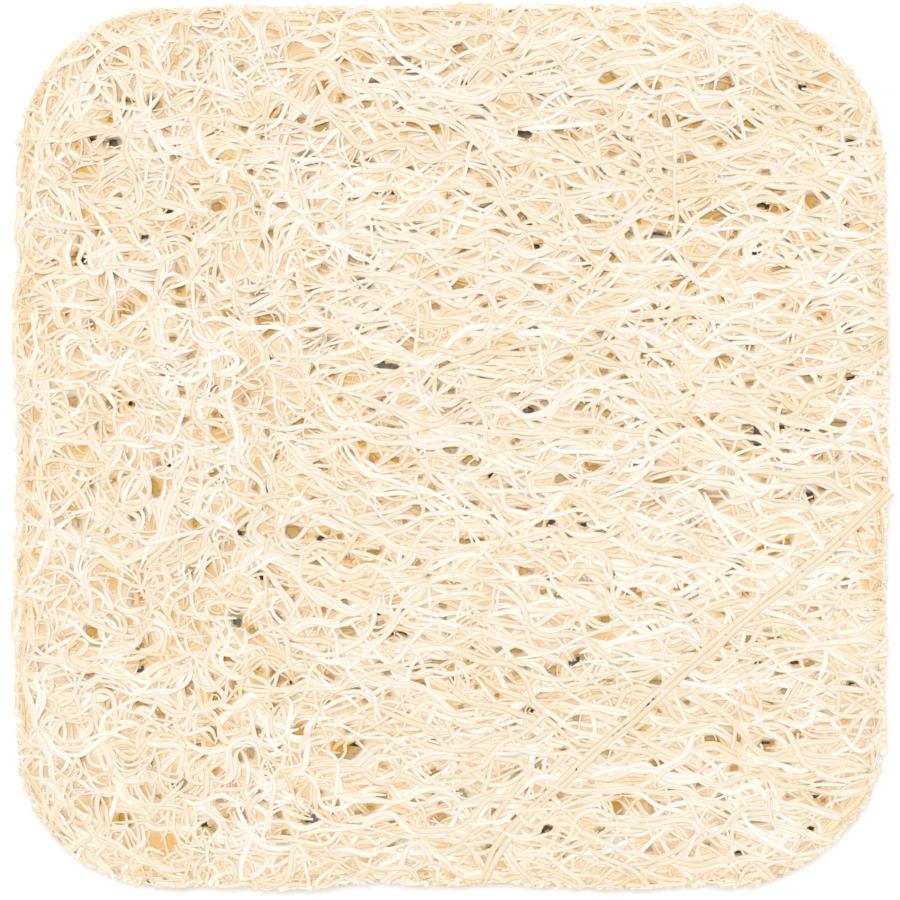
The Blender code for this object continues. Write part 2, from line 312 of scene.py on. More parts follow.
def gather(fibres, ground):
    """Draws neighbouring fibres together, so that they run side by side, part and leave lens-shaped gaps."""
    spread, apart = 0.34, 0.15  # fibres draw each other nearer within spread, and keep apart
    rounds, pull, farthest = 8, 0.05, 0.12
    smooth, last_rounds, last_smooth = 0.18, 4, 0.5
    sizes = [len(path) for path in fibres]
    points = np.concatenate(fibres)
    ends = np.cumsum(sizes)
    inner = np.ones(len(points), bool)
    inner[ends - 1] = False
    inner[ends - sizes] = False
    inside = np.flatnonzero(inner)
    wide, deep = ground.shape
    fx = np.fft.fftfreq(wide, CELL)[:, None]
    fy = np.fft.rfftfreq(deep, CELL)[None, :]
    wave = -2 * math.pi**2 * (fx**2 + fy**2)
    root = math.sqrt(math.tau)
    blur = spread * root * np.exp(wave * spread**2) - 1.3 * apart * root * np.exp(wave * apart**2)
    blur = blur * STEP / CELL**2
    for _ in range(rounds):
        at = np.clip((points - ground.low) / CELL - 0.5, 0, np.array(ground.shape) - 1.001)
        whole = at.astype(int)
        part = at - whole
        corners = []
        for i, j in ((0, 0), (0, 1), (1, 0), (1, 1)):
            share = (part[:, 0] if i else 1 - part[:, 0]) * (part[:, 1] if j else 1 - part[:, 1])
            corners.append(((whole[:, 0] + i) * deep + whole[:, 1] + j, share))
        crowd = np.zeros(wide * deep)
        for place, share in corners:
            crowd += np.bincount(place, share, wide * deep)
        soft = np.fft.irfft2(np.fft.rfft2(crowd.reshape(wide, deep)) * blur, s=(wide, deep))
        slopes = np.gradient(soft, CELL)
        pulls = [sum(slope.ravel()[place] * share for place, share in corners) for slope in slopes]
        pulls = np.stack(pulls, 1)
        along = np.zeros_like(points)
        along[inside] = points[inside + 1] - points[inside - 1]
        along /= np.maximum(np.linalg.norm(along, axis=1, keepdims=True), 1e-9)
        pulls -= along * np.sum(pulls * along, axis=1, keepdims=True)
        points += np.clip(pull * spread * pulls, -farthest, farthest)
        points[inside] += ((points[inside - 1] + points[inside + 1]) / 2 - points[inside]) * smooth
    for _ in range(last_rounds):
        points[inside] += ((points[inside - 1] + points[inside + 1]) / 2 - points[inside]) * last_smooth
    return np.split(points, ends[:-1])


def cut_to(path, inside):
    """The stretches of a path that lie inside, each ended exactly where the measure inside is 0."""
    keep = np.flatnonzero(inside > 0)
    if len(keep) < 3:
        return []
    pieces = []
    for run in np.split(keep, np.flatnonzero(np.diff(keep) > 1) + 1):
        if len(run) < 3:
            continue
        stretch = [path[run]]
        for end, beyond, where in ((run[0], run[0] - 1, 0), (run[-1], run[-1] + 1, 1)):
            if 0 <= beyond < len(path):
                share = inside[end] / (inside[end] - inside[beyond])
                cut = path[end] + (path[beyond] - path[end]) * share
                stretch.insert(0 if where == 0 else len(stretch), cut[None])
        pieces.append((np.concatenate(stretch), run[0] > 0, run[-1] < len(path) - 1))
    return pieces


def even_out(points, values, longest, sharpest):
    """Fewer points along a path: far apart where it is straight and close together where it turns."""
    steps = np.diff(points, axis=0)
    lengths = np.maximum(np.linalg.norm(steps, axis=1), 1e-6)
    ways = steps / lengths[:, None]
    turns = np.zeros(len(points))
    turns[1:-1] = np.arccos(np.clip(np.sum(ways[:-1] * ways[1:], axis=1), -1, 1))
    need = np.concatenate(([0.0], np.cumsum(lengths / longest + (turns[:-1] + turns[1:]) / 2 / sharpest)))
    count = max(2, int(math.ceil(need[-1])) + 1)
    at = np.linspace(0, need[-1], count)
    columns = np.column_stack((points, values))
    return np.stack([np.interp(at, need, column) for column in columns.T], 1)


def smooth_line(points):
    """Points a step or so apart along a smooth curve through the given ones."""
    points = np.array(points, float)
    ends = np.concatenate(([2 * points[0] - points[1]], points, [2 * points[-1] - points[-2]]))
    line = []
    for a, b, c, d in zip(ends, ends[1:], ends[2:], ends[3:]):
        t = np.arange(0, 1, 1 / max(1, round(np.linalg.norm(c - b) / STEP)))[:, None]
        bend = (2 * a - 5 * b + 4 * c - d) * t**2 + (3 * b - a - 3 * c + d) * t**3
        line.append(0.5 * (2 * b + (c - a) * t + bend))
    return np.concatenate((*line, points[-1:]))


GROWN = {}  # the bundles that pieces were made of, by piece


class Bundle:
    """The fibres of one piece: for each, rows of x, y, z, width and thickness, and a tone from -1 to 1."""

    def __init__(self, longest, sharpest, upright=False):
        self.rows, self.tones = [], []
        self.longest, self.sharpest = longest, sharpest  # most millimetres and most turn between two rows
        self.upright = upright  # the fibres lie flat on the rim, not on the faces

    def add(self, points, width, thickness, tone):
        self.rows.append(even_out(points, np.column_stack((width, thickness)), self.longest, self.sharpest))
        self.tones.append(tone)


def fibre_widths(path, base, draw, cut_start, cut_end):
    """A fibre's width along a path, which swells and thins a little and tapers where it joins another."""
    along = distance_along(path)
    wave = np.sin(along * math.tau / draw.uniform(5, 11) + draw.uniform(0, math.tau))
    width = base * (1 + 0.13 * wave)
    if not cut_start:
        width = width * (0.45 + 0.55 * ease(along / 1.6))
    if not cut_end:
        width = width * (0.45 + 0.55 * ease((along[-1] - along) / 1.6))
    return width


def weave(path, draw, cut_start, cut_end):
    """How far a fibre rises and sinks between the others, and how it dives where it ends."""
    along = distance_along(path)
    lift = 0.07 * np.sin(along * math.tau / draw.uniform(4.0, 8.0) + draw.uniform(0, math.tau))
    if not cut_start:
        lift = lift - END_DIP * (1 - ease(along / 2.0))
    if not cut_end:
        lift = lift - END_DIP * (1 - ease((along[-1] - along) / 2.0))
    return lift


def skin_depth(points, pad):
    """How deep each point lies under the pad's nearest outer surface; the material paints shade by it,
    lighter on the rim.
    """
    x, y, z = points.T
    return np.minimum(np.minimum(z, pad["height"] - z), np.maximum(inward(x, y, pad), 0) * 0.55 + 0.08)


def level(z, x, y, pad):
    """Heights with the pad's slightly rounded rim, pressed inside its two faces."""
    middle = pad["height"] / 2
    droop = 1 - 0.13 * np.exp(-((np.maximum(inward(x, y, pad), 0) / 1.3) ** 2))
    return middle + (z - middle) * droop


def lay_net(bundle, context, number):
    """Grows one of the flat nets, counted from the upper face down, and adds its fibres to the bundle."""
    pad = pad_numbers(context)
    settings = context.scene.loofah_fibres
    middle_height, density, swing = NETS[number]
    seed = 100 + 17 * number
    draw = np.random.default_rng(seed)
    low = -pad["half"] - EDGE_ROOM - 1
    pore_room = 0.30 if number < 2 else 0.36
    ground = Ground(
        low,
        -low,
        lambda x, y: run_of_fibres(x, y, pad, seed),
        lambda x, y: (inward(x, y, pad) > -EDGE_ROOM) & (pore_distance(x, y) > pore_room),
    )
    spacing = settings.spacing / MM / density
    common, thin = settings.width / MM, settings.thin_width / MM

    def along(x, y):
        return 9 + 13 * float(ease((x + 20) / 24))

    def only_left(x, y):
        return 9.0 * float(ease((-x - 4) / 14))

    # Turn from the ground's run, spacing, least distance, length, and share of the common width
    families = (
        (0.36, 1.75, 0.62, along, 1.0),
        (-0.36, 1.75, 0.62, along, 1.0),
        (0.02, 2.8, 1.0, along, 1.1),
        (1.35, 3.4, 1.7, lambda x, y: 7.0, 0.8),
        (0.85, 3.6, 2.0, lambda x, y: 8.0, 0.75),
        (-0.90, 3.6, 2.0, lambda x, y: 8.0, 0.75),
        (0.60, 2.9, 1.3, only_left, 0.85),
        (-0.50, 2.9, 1.3, only_left, 0.85),
    )
    paths, weights, bases = [], [], []
    for place, (turn, wanted, closest, reach, weight) in enumerate(families):
        grown = grow(ground, turn, wanted * spacing, closest * spacing, reach, draw, 0.50)
        paths += grown
        weights += [weight] * len(grown)
        bases += [place] * len(grown)
    paths = gather(paths, ground)

    rounding = 0.28 * math.exp(-min(middle_height, pad["height"] - middle_height) / 0.25)
    for path, weight, family in zip(paths, weights, bases):
        path = clear_pores(path)
        inside = inward(path[:, 0], path[:, 1], pad) - draw.uniform(-0.12, 0.28) - rounding
        for stretch, cut_start, cut_end in cut_to(path, inside):
            x, y = stretch.T
            hills = ripple(x, y, 7.0, seed + 5) + 0.6 * ripple(x, y, 5.0, seed + 6 + family)
            height = middle_height + swing * hills
            height = height + draw.normal(0, 0.03) + weave(stretch, draw, cut_start, cut_end)
            base = (thin if draw.uniform() < 0.34 else common * draw.uniform(0.82, 1.2)) * weight
            base = base * (0.97 + 0.03 * float(ease((x.mean() + 20) / 24)))
            width = fibre_widths(stretch, base, draw, cut_start, cut_end)
            thickness = width * draw.uniform(0.40, 0.54)
            room = thickness / 2 + draw.uniform(0, 0.07)
            z = level(np.clip(height, room, pad["height"] - room), x, y, pad)
            bundle.add(np.column_stack((x, y, z)), width, thickness, draw.uniform(-1, 1))


def lay_long_strands(bundle, context):
    """Adds the strands that stand out in the photo, on the upper face."""
    pad = pad_numbers(context)
    draw = np.random.default_rng(7)
    for width, *line in LONG_STRANDS:
        path = smooth_line(line)
        straight = width > 0.9
        stray = 0.04 if straight else 0.16
        path = path + stray * np.column_stack((ripple(*path.T, 5.0, 8), ripple(*path.T, 5.0, 9)))
        for stretch, cut_start, cut_end in cut_to(path, inward(path[:, 0], path[:, 1], pad) + 0.1):
            x, y = stretch.T
            pairs = 1 if width < 0.4 else 2
            for strand in range(pairs):
                across = np.gradient(stretch, axis=0)[:, ::-1] * (-1, 1)
                across /= np.linalg.norm(across, axis=1, keepdims=True)
                shift = (strand - (pairs - 1) / 2) * width / pairs * 0.95
                shift = shift + 0.05 * ripple(x, y, 5.0, 40 + strand)
                side = stretch + across * shift[:, None]
                size = fibre_widths(side, width / pairs * 1.2, draw, cut_start, cut_end)
                lift = 0.0 if straight else 0.12 * ripple(x, y, 6.0, 60 + strand) - 0.08
                z = pad["height"] - size * 0.32 - 0.02 + np.minimum(lift, 0.0)
                z = level(z, side[:, 0], side[:, 1], pad)
                tone = -1.0 if straight else draw.uniform(-0.4, 0.6)
                bundle.add(np.column_stack((side, z)), size, size * 0.6, tone)
    for x, y, radius in LOOPS:
        for turn in range(2):
            angles = np.arange(0, draw.uniform(5.0, 6.8), 0.25) + draw.uniform(0, math.tau)
            size = radius * (1 + 0.12 * np.sin(2 * angles + turn)) + 0.25 * turn
            ring = np.column_stack((x + size * 1.15 * np.cos(angles), y + size * 0.8 * np.sin(angles)))
            width = fibre_widths(ring, 0.42, draw, False, False)
            z = np.full(len(ring), pad["height"] - 0.4 - 0.2 * turn)
            bundle.add(np.column_stack((ring, z)), width, width * 0.8, draw.uniform(-0.2, 1.0))


class Rim:
    """The pad's outline, with the places at a distance round it and an inset."""

    def __init__(self, pad):
        self.outer, self.inner = (self.line(pad, inset) for inset in (0.0, RIM_DEPTH))
        self.far = distance_along(self.outer)
        self.around = self.far[-1]

    def line(self, pad, inset):
        """A closed line of points at an inset."""
        angles = np.linspace(0, math.tau, 2400, endpoint=False)
        ways = np.column_stack((np.cos(angles), np.sin(angles)))
        reach = np.full(len(angles), 20.0)
        for _ in range(40):
            spots = ways * reach[:, None]
            reach = reach + 0.7 * (inward(*spots.T, pad) - inset)
        spots = ways * reach[:, None]
        return np.concatenate((spots, spots[:1]))

    def places(self, far, inset):
        outer, inner = (
            np.column_stack([np.interp(far, self.far, line[:, axis]) for axis in range(2)])
            for line in (self.outer, self.inner)
        )
        return outer + (inner - outer) * inset[:, None] / RIM_DEPTH


def lay_rim(bundle, context, layer):
    """Grows a layer of the net round the rim, on the pad's side unrolled, and bends it round the outline."""
    pad = pad_numbers(context)
    settings = context.scene.loofah_fibres
    draw = np.random.default_rng(900 + layer)
    rim = Rim(pad)
    around, height = rim.around, pad["height"]
    overlap = 4.0
    ground = Ground(
        (-overlap, 0.0),
        (around + overlap, height),
        lambda s, z: 0.30 * ripple(s, z, 11.0, 901) + 0.16 * ripple(s, z, 5.0, 902),
        lambda s, z: (z > 0.35) & (z < height - 0.45) & (s > -overlap) & (s < around + overlap),
    )
    spacing = settings.spacing / MM * (0.95 + 0.2 * layer)
    paths = []
    for turn, wanted, closest, length in (  # as in the families of lay_net
        (0.42, 1.35, 0.55, 12.0),
        (-0.42, 1.35, 0.55, 12.0),
        (0.0, 1.9, 0.8, 16.0),
        (1.25, 2.3, 1.2, 5.0),
        (0.85, 2.6, 1.2, 6.0),
        (-0.95, 2.6, 1.2, 6.0),
    ):
        reach, nearest = wanted * spacing, closest * spacing
        paths += grow(ground, turn, reach, nearest, lambda s, z: length, draw, 0.45)
    for path in gather(paths, ground):
        z = np.clip(path[:, 1], 0.25, height - 0.25)
        edge = np.abs(z - height / 2) / (height / 2)
        inset = 0.20 + 0.55 * edge**4 + 0.14 * ripple(path[:, 0], z, 7.0, 903)
        inset = inset + draw.uniform(0, 0.4) + 0.5 * layer
        place = rim.places(path[:, 0] % around, np.maximum(inset, 0.2))
        base = settings.width / MM * draw.uniform(0.7, 1.25)
        width = fibre_widths(path, base, draw, False, False)
        bundle.add(np.column_stack((place, z)), width, width * 0.5, draw.uniform(-1, 1))


def strip_places(lengths, heights):
    """Lays out the unrolled fibres in rows in a square. Returns their corners and the square's side."""
    order = np.argsort(-heights, kind="stable").tolist()
    across = math.sqrt(float(np.sum(lengths * heights))) * 1.04
    for _ in range(3):
        across = max(across, float(lengths.max()))
        rows, places, top = [], [None] * len(order), 0.0
        for index in order:
            row = next((row for row in rows if row[1] + lengths[index] <= across), None)
            if row is None:
                row = [top, 0.0]
                rows.append(row)
                top += heights[index]
            places[index] = (row[1], row[0])
            row[1] += lengths[index]
        if abs(top - across) < 0.03 * across:
            break
        across = math.sqrt(top * across)
    return np.array(places), max(top, across)


def fibre_mesh(name, bundle, pad):
    """One mesh of flat strands, with its shading, its maps and its two values."""
    counts = np.array([len(rows) for rows in bundle.rows])
    rows = np.concatenate(bundle.rows)
    points, width, thickness = rows[:, :3], rows[:, 3], rows[:, 4]
    ends = np.cumsum(counts)
    firsts = ends - counts
    index = np.arange(len(points))
    before, after = index - 1, index + 1
    before[firsts], after[ends - 1] = firsts, ends - 1
    way = points[after] - points[before]
    way /= np.maximum(np.linalg.norm(way, axis=1, keepdims=True), 1e-9)
    outside = np.array((0.0, 0.0, 1.0))
    if bundle.upright:
        x, y, reach = points[:, 0], points[:, 1], 0.05
        slope_x = inward(x - reach, y, pad) - inward(x + reach, y, pad)
        slope_y = inward(x, y - reach, pad) - inward(x, y + reach, pad)
        outside = np.column_stack((slope_x, slope_y, np.zeros(len(points))))
    side = np.cross(way, outside)
    side /= np.maximum(np.linalg.norm(side, axis=1, keepdims=True), 1e-9)
    up = np.cross(side, way)
    angles = (np.arange(SIDES) + 0.5) * math.tau / SIDES
    swell = 1 / math.cos(math.pi / SIDES)
    rings = (
        points[:, None]
        + side[:, None] * (width[:, None] / 2 * swell * np.cos(angles))[:, :, None]
        + up[:, None] * (thickness[:, None] / 2 * swell * np.sin(angles))[:, :, None]
    )
    inner = np.setdiff1d(index, ends - 1)
    turn = np.arange(SIDES)
    onward = (turn + 1) % SIDES
    here, there = inner[:, None] * SIDES, (inner[:, None] + 1) * SIDES
    quads = np.stack((here + turn, there + turn, there + onward, here + onward), 2).reshape(-1, 4)
    caps = (firsts[:, None] * SIDES + turn, (ends[:, None] - 1) * SIDES + turn[::-1])
    caps = np.concatenate(caps)

    mesh = bpy.data.meshes.new(name)
    mesh.from_pydata((rings.reshape(-1, 3) * MM).tolist(), [], quads.tolist() + caps.tolist())
    smooth = np.ones(len(quads) + len(caps), bool)
    smooth[len(quads) :] = False
    mesh.polygons.foreach_set("use_smooth", smooth)
    facing = side[:, None] * (SIDE_LEAN * np.cos(angles))[:, None] + up[:, None] * np.sin(angles)[:, None]
    cut = np.concatenate((-way[firsts], way[ends - 1])) + 0.7 * np.concatenate((up[firsts], up[ends - 1]))
    facing = np.concatenate((facing.reshape(-1, 3)[quads.ravel()], np.repeat(cut, SIDES, axis=0)))
    facing /= np.linalg.norm(facing, axis=1, keepdims=True)
    mesh.normals_split_custom_set(facing.tolist())

    along = np.cumsum(np.linalg.norm(points - points[before], axis=1))
    along -= np.repeat(along[firsts], counts)
    girth = np.maximum.reduceat(math.pi * (width + thickness) / 2, firsts)
    add_fibre_maps(mesh, counts, along, girth, angles)

    add_values(mesh, skin_depth(rings.reshape(-1, 3), pad), np.repeat(np.array(bundle.tones), counts * SIDES))
    mesh.validate()
    return mesh


def add_values(mesh, depths, tones):
    """Stores what the material reads at each point: its depth in the pad, by which shade is painted, and its
    tone.
    """
    for name, values in (("depth", depths), ("tone", tones)):
        mesh.attributes.new(name, "FLOAT", "POINT").data.foreach_set("value", values)


def add_fibre_maps(mesh, counts, along, girth, angles):
    """Gives each fibre its own place in a map where no two fibres overlap, and a map that runs along it."""
    ends = np.cumsum(counts)
    inner = np.setdiff1d(np.arange(len(along)), ends - 1)
    turn = np.arange(SIDES)
    gap, cap = 0.14, 0.5
    lengths = along[ends - 1]
    places, square = strip_places(lengths + 2 * cap + gap, girth + gap)
    owner = np.repeat(np.arange(len(counts)), counts)[inner]
    corner_along = np.stack((along[inner], along[inner + 1], along[inner + 1], along[inner]), 1)
    corner_round = np.stack((turn, turn, turn + 1, turn + 1), 1) / SIDES
    quad_u = np.repeat(places[owner, 0][:, None] + cap + corner_along, SIDES, axis=0)
    quad_v = places[owner, 1][:, None, None] + corner_round[None] * girth[owner][:, None, None]
    ring_u, ring_v = cap / 2.3 * np.cos(angles), cap / 2.3 * np.sin(angles)
    first_u = places[:, :1] + cap / 2 + ring_u
    last_u = places[:, :1] + 1.55 * cap + lengths[:, None] + ring_u[::-1]
    first_v, last_v = (places[:, 1:] + cap / 2 + ring for ring in (ring_v, ring_v[::-1]))
    baked_u = np.concatenate((quad_u.ravel(), first_u.ravel(), last_u.ravel()))
    baked_v = np.concatenate((quad_v.ravel(), first_v.ravel(), last_v.ravel()))
    baked = np.column_stack((baked_u, baked_v)) / square
    mesh.uv_layers.new(name="OFBake").data.foreach_set("uv", baked.ravel())

    start = np.random.default_rng(3).uniform(0, 900, len(counts))
    strand_u = np.repeat(start[owner][:, None] + corner_along, SIDES, axis=0)
    strand_v = np.tile(corner_round * 2.0, (len(inner), 1))
    on_caps = np.zeros(first_u.size + last_u.size)
    strand = [np.concatenate((column.ravel(), on_caps)) for column in (strand_u, strand_v)]
    mesh.uv_layers.new(name="Fibre").data.foreach_set("uv", np.column_stack(strand).ravel())
    mesh.uv_layers["OFBake"].active = True
    mesh.uv_layers["OFBake"].active_render = True


def fibre_material(context):
    """Dry plant fibre: cream, with painted shade that turns it tan and brown in the gaps and deeper in,
    darker along each fibre's sides, and fine grooves along each fibre.
    """
    settings = context.scene.loofah_fibres
    name = "loofah_fibre"
    if name in bpy.data.materials and bpy.data.materials[name].get("loofah"):
        return bpy.data.materials[name]
    material = bpy.data.materials.new(name)
    material["loofah"] = True
    material.use_nodes = True
    nodes, links = material.node_tree.nodes, material.node_tree.links
    shader = nodes["Principled BSDF"]
    shader.inputs["Roughness"].default_value = settings.roughness
    shader.inputs["Specular IOR Level"].default_value = 0.3
    shader.inputs["Sheen Weight"].default_value = 0.35
    shader.inputs["Sheen Roughness"].default_value = 0.6

    def node(kind, **values):
        made = nodes.new(kind)
        for key, value in values.items():
            setattr(made, key, value)
        return made

    # Painted shade: the colour turns from cream through tan and brown to deep brown with depth under the
    # pad's outer surface, in place of the shade among the fibres.
    depth = node("ShaderNodeAttribute", attribute_name="depth")
    depth_shade_ramp = node("ShaderNodeValToRGB")
    stops = depth_shade_ramp.color_ramp.elements
    stops[0].position, stops[0].color = 0.06, (*settings.cream, 1)
    stops[1].position, stops[1].color = 1.0, (*settings.deep, 1)
    for position, colour in ((0.20, settings.tan), (0.36, settings.brown)):
        stops.new(position).color = (*colour, 1)
    scale = node("ShaderNodeMath", operation="DIVIDE")
    scale.inputs[1].default_value = settings.shade_fade_depth / MM
    links.new(depth.outputs["Fac"], scale.inputs[0])
    links.new(scale.outputs[0], depth_shade_ramp.inputs[0])

    tone = node("ShaderNodeAttribute", attribute_name="tone")
    place = node("ShaderNodeTexCoord")
    patches = node("ShaderNodeTexNoise", noise_dimensions="3D")
    patches.inputs["Scale"].default_value = 160.0
    patches.inputs["Detail"].default_value = 3.0
    links.new(place.outputs["Object"], patches.inputs["Vector"])

    strand = node("ShaderNodeUVMap", uv_map="Fibre")
    stretch = node("ShaderNodeMapping")
    stretch.inputs["Scale"].default_value = (0.55, 7.0, 1.0)
    links.new(strand.outputs["UV"], stretch.inputs["Vector"])
    grooves = node("ShaderNodeTexNoise", noise_dimensions="2D")
    grooves.inputs["Scale"].default_value = 1.6
    grooves.inputs["Detail"].default_value = 3.0
    links.new(stretch.outputs["Vector"], grooves.inputs["Vector"])

    def ranged(source, low, high, new_low, new_high):
        made = node("ShaderNodeMapRange")
        for socket, value in zip(RANGE_SOCKETS, (low, high, new_low, new_high)):
            made.inputs[socket].default_value = value
        links.new(source, made.inputs["Value"])
        return made.outputs["Result"]

    def product(first, second):
        made = node("ShaderNodeMath", operation="MULTIPLY")
        links.new(first, made.inputs[0])
        links.new(second, made.inputs[1])
        return made.outputs[0]

    # Painted shade along the two sides of each fibre: toward the edges of a face the colour is darker and
    # more saturated, in place of the contact shadow between fibres.
    across = node("ShaderNodeSeparateXYZ")
    links.new(strand.outputs["UV"], across.inputs[0])
    from_middle = across.outputs["Y"]
    for operation, number in (("MULTIPLY", 2.0), ("FRACT", 0.0), ("SUBTRACT", 0.5), ("ABSOLUTE", 0.0)):
        step = node("ShaderNodeMath", operation=operation)
        step.inputs[1].default_value = number
        links.new(from_middle, step.inputs[0])
        from_middle = step.outputs[0]

    value = ranged(tone.outputs["Fac"], -1, 1, 0.94, 1.03)
    value = product(value, ranged(grooves.outputs["Fac"], 0.3, 0.7, 0.95, 1.02))
    value = product(value, ranged(from_middle, 0.33, 0.5, 1.0, settings.edge_shade))
    warmth = ranged(tone.outputs["Fac"], -1.0, 1.0, 1.18, 0.52)
    warmth = product(warmth, ranged(from_middle, 0.33, 0.5, 1.0, 1.7))
    warmth = product(warmth, ranged(patches.outputs["Fac"], 0.35, 0.65, 0.90, 1.18))
    shade = node("ShaderNodeHueSaturation")
    links.new(depth_shade_ramp.outputs["Color"], shade.inputs["Color"])
    links.new(value, shade.inputs["Value"])
    links.new(warmth, shade.inputs["Saturation"])
    links.new(shade.outputs["Color"], shader.inputs["Base Color"])

    bump = node("ShaderNodeBump")
    bump.inputs["Strength"].default_value = 0.35
    bump.inputs["Distance"].default_value = 0.00006
    links.new(grooves.outputs["Fac"], bump.inputs["Height"])
    links.new(bump.outputs["Normal"], shader.inputs["Normal"])
    return material


def fibre_tops(bundles, pad):
    """The height of the highest fibre over each square of a grid, and the grid's corner."""
    low = -pad["half"] - 1.0
    wide, deep = (int(math.ceil(2 * half / WEB_CELL)) for half in pad["half"] + 1.0)
    fibres = [rows for bundle in bundles for rows in bundle.rows]
    floor_height = np.quantile(np.concatenate([rows[:, 2] for rows in fibres]), 0.05)
    tops = np.full(wide * deep, floor_height)
    for rows in fibres:
        far = distance_along(rows[:, :3])
        at = np.arange(0, far[-1], WEB_CELL * 0.7)
        x, y, z, width, thickness = (np.interp(at, far, column) for column in rows.T)
        for across in range(-2, 3):
            for along in range(-2, 3):
                near = np.hypot(across, along) * WEB_CELL
                fits = near <= np.maximum(width / 2, WEB_CELL * 0.6)
                i = ((x[fits] - low[0]) / WEB_CELL).astype(int) + across
                j = ((y[fits] - low[1]) / WEB_CELL).astype(int) + along
                top = z[fits] + thickness[fits] / 2 - near**2 * 0.8
                np.maximum.at(tops, np.clip(i, 0, wide - 1) * deep + np.clip(j, 0, deep - 1), top)
    return tops.reshape(wide, deep), low


def blurred(grid, sag):
    """A grid of heights smoothed over a distance."""
    wide, deep = grid.shape
    fx = np.fft.fftfreq(wide, WEB_CELL)[:, None]
    fy = np.fft.rfftfreq(deep, WEB_CELL)[None, :]
    blur = np.exp(-2 * math.pi**2 * (fx**2 + fy**2) * sag**2)
    return np.fft.irfft2(np.fft.rfft2(grid) * blur, s=(wide, deep))


def web_mesh(name, bundles, pad, drop, openness, pitch):
    """A thin skin hung between the fibres, with holes where the gaps are widest."""
    tops, low = fibre_tops(bundles, pad)
    heights = blurred(tops, 0.27)
    gaps = blurred(tops, 0.15) - blurred(tops, 2.5)

    def at(grid, x, y):
        return grid[((x - low[0]) / WEB_CELL).astype(int), ((y - low[1]) / WEB_CELL).astype(int)]

    counts = [int(2 * half / pitch) for half in pad["half"]]
    xs, ys = (np.linspace(-half, half, count + 1) for half, count in zip(pad["half"], counts))
    x, y = np.meshgrid(xs, ys, indexing="ij")
    shift = np.random.default_rng(12).uniform(-0.3, 0.3, (2, *x.shape)) * pitch
    x, y = x + shift[0], y + shift[1]
    z = at(heights, x, y)

    def corners(grid):
        return grid[:-1, :-1], grid[1:, :-1], grid[1:, 1:], grid[:-1, 1:]

    middle_x, middle_y = (sum(corners(row)) / 4 for row in (x, y))
    gap = at(gaps, middle_x, middle_y)
    edge = inward(x, y, pad)
    face = np.all(corners(edge > 0.30), axis=0)
    face &= gap > np.quantile(gap[edge[1:, 1:] > 1.5], openness)
    face &= pore_distance(middle_x, middle_y) > max(0.34, 0.6 * pitch + 0.06)
    around = np.zeros(np.add(face.shape, 2), int)
    around[1:-1, 1:-1] = face
    beside = around[:-2, 1:-1] + around[2:, 1:-1] + around[1:-1, :-2] + around[1:-1, 2:]
    face &= beside > 1
    quads = np.stack(corners(np.arange(x.size).reshape(x.shape)), 2)[face]
    used, quads = np.unique(quads, return_inverse=True)
    quads = quads.reshape(-1, 4)
    points = np.column_stack((x.ravel()[used], y.ravel()[used], z.ravel()[used] - drop))
    return skin_mesh(name, points, quads, points[:, :2], pad)


def rim_web_mesh(name, pad, inset, pitch):
    """A thin skin behind the net round the rim."""
    rim = Rim(pad)
    count, rows = int(rim.around / pitch), int(pad["height"] / pitch)
    heights = np.linspace(0.40, pad["height"] - 0.55, rows)
    far = np.arange(count) * rim.around / count
    s, z = (grid.ravel() for grid in np.meshgrid(far, heights, indexing="ij"))
    x, y = rim.places(s, np.zeros_like(s)).T
    place = rim.places(s, inset + 0.22 * ripple(x + 1.7 * z, y - 1.3 * z, 3.0, 905))
    corner = np.arange(count * rows).reshape(count, rows)
    onward = np.roll(corner, -1, axis=0)
    quads = np.stack((corner[:, :-1], onward[:, :-1], onward[:, 1:], corner[:, 1:]), 2).reshape(-1, 4)
    return skin_mesh(name, np.column_stack((place, z)), quads, np.column_stack((s, z)), pad)


def skin_mesh(name, points, quads, flat, pad):
    """A sheet with a map that lies flat on it, and the depth and tone that the fibres have as well."""
    mesh = bpy.data.meshes.new(name)
    mesh.from_pydata((points * MM).tolist(), [], quads.tolist())
    mesh.polygons.foreach_set("use_smooth", np.ones(len(quads), bool))
    grain = np.column_stack((flat[:, 0] * 0.8, 0.25 + 0.08 * np.sin(flat[:, 1] * 0.9)))
    mesh.uv_layers.new(name="Fibre").data.foreach_set("uv", grain[quads.ravel()].ravel())
    add_values(mesh, skin_depth(points, pad), np.clip(ripple(*points[:, :2].T, 3.0, 77), -1, 1) * 0.6)
    print(name, len(quads) * 4, "triangles")
    return mesh


def add_piece(context, name, mesh, thickness=0.0):
    """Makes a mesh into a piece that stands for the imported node. A sheet is given its thickness."""
    mesh.materials.append(fibre_material(context))
    piece = bpy.data.objects.new(name, mesh)
    context.scene.collection.objects.link(piece)
    if thickness:
        bpy.ops.object.select_all(action="DESELECT")
        context.view_layer.objects.active = piece
        piece.select_set(True)
        thick = piece.modifiers.new("thickness", "SOLIDIFY")
        thick.thickness = thickness
        thick.offset = -1.0
        bpy.ops.object.modifier_apply(modifier=thick.name)
    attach(piece, "root")
    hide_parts(NODE)


def fibre_piece(context, name, bundle):
    """Makes a piece of a bundle of fibres."""
    faces = sum(len(rows) - 1 for rows in bundle.rows) * SIDES * 2 + 2 * (SIDES - 2) * len(bundle.rows)
    if faces > MOST_TRIANGLES:
        raise RuntimeError(f"{name} has {faces} triangles")
    print(name, faces, "triangles")
    GROWN[name] = bundle
    add_piece(context, name, fibre_mesh(name, bundle, pad_numbers(context)))


def net_piece(context, name, numbers, longest, sharpest):
    """Makes a piece of the nets with these numbers."""
    bundle = Bundle(longest, sharpest)
    for number in numbers:
        lay_net(bundle, context, number)
    fibre_piece(context, name, bundle)


